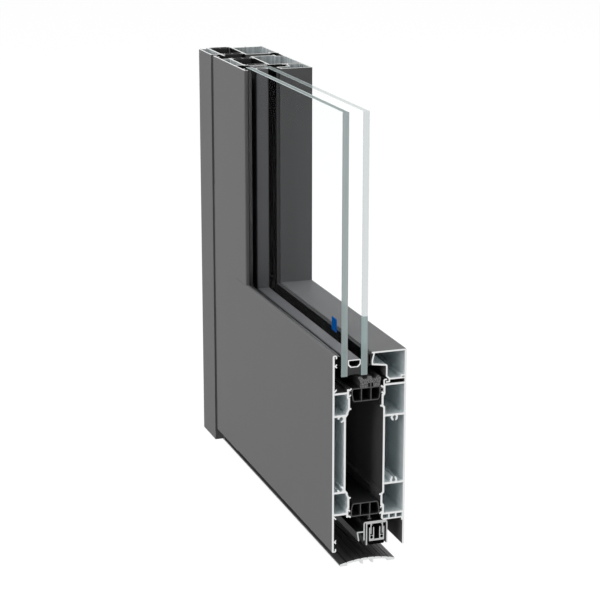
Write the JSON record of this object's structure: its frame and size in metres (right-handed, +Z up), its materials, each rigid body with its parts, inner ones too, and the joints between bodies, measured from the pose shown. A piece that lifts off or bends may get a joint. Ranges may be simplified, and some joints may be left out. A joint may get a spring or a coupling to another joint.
{
  "type": "entrance door corner section",
  "caption": "Cut-away lower corner of a glazed aluminium entrance door: jamb, swinging leaf with stile and bottom rail, double glazing, drop seal and threshold.",
  "frame": {"origin": "centre of the footprint, at floor level", "axes": "+X from the jamb towards the cut end, +Y from the exterior face towards the interior, +Z up"},
  "size_m": [0.4626, 0.077, 0.4573],
  "materials": {
    "painted_aluminium": "fine powder coating, matt neutral grey, bare aluminium at the cuts",
    "polyamide": "matt, glass-fibre filled",
    "black_rubber": "matt",
    "grey_foam": "closed-cell foam, speckled",
    "clear_glass": "polished float glass, ground edges",
    "mill_aluminium": "mill finish, drawn lines along the length",
    "dark_anodised_aluminium": "dark anodised, bare at the cut",
    "dark_steel": "black coated"
  },
  "bodies": {
    "frame": {"jamb_exterior_shell": "painted_aluminium", "jamb_interior_shell": "painted_aluminium", "jamb_front_bar": "polyamide", "jamb_back_bar": "polyamide", "jamb_gasket": "black_rubber", "threshold": "dark_anodised_aluminium", "threshold_connector": "polyamide", "jamb_hinge_flap": "dark_steel", "hinge_pin": "dark_steel"},
    "leaf": {"stile_exterior_shell": "painted_aluminium", "stile_interior_shell": "painted_aluminium", "rail_exterior_shell": "painted_aluminium", "rail_interior_shell": "painted_aluminium", "bottom_bead": "painted_aluminium", "side_bead": "painted_aluminium", "stile_glazing_bar": "polyamide", "stile_rebate_bar": "polyamide", "rail_upper_bar": "polyamide", "rail_lower_bar": "polyamide", "stile_gasket": "black_rubber", "exterior_glazing_gasket": "black_rubber", "interior_glazing_gasket": "black_rubber", "edge_sealant": "black_rubber", "rail_foam": "grey_foam", "stile_foam": "grey_foam", "outer_pane": "clear_glass", "inner_pane": "clear_glass", "seal_adapter": "mill_aluminium", "seal_housing": "mill_aluminium", "spacer_bar": "mill_aluminium", "leaf_hinge_flap": "dark_steel"},
    "drop_seal": {"seal_carrier": "mill_aluminium", "seal_lip_strip": "black_rubber"}
  },
  "joints": [
    {"name": "leaf_swing", "type": "hinge", "parent": "frame", "child": "leaf", "pos_m": [-0.17095, -0.0355, 0], "axis": [0, 0, -1], "range_deg": [0, 90]},
    {"name": "seal_drop", "type": "slide", "parent": "leaf", "child": "drop_seal", "axis": [0, 0, -1], "range_m": [0, 0.013], "stiffness_N_per_m": 150, "springref_m": -0.02}
  ]
}
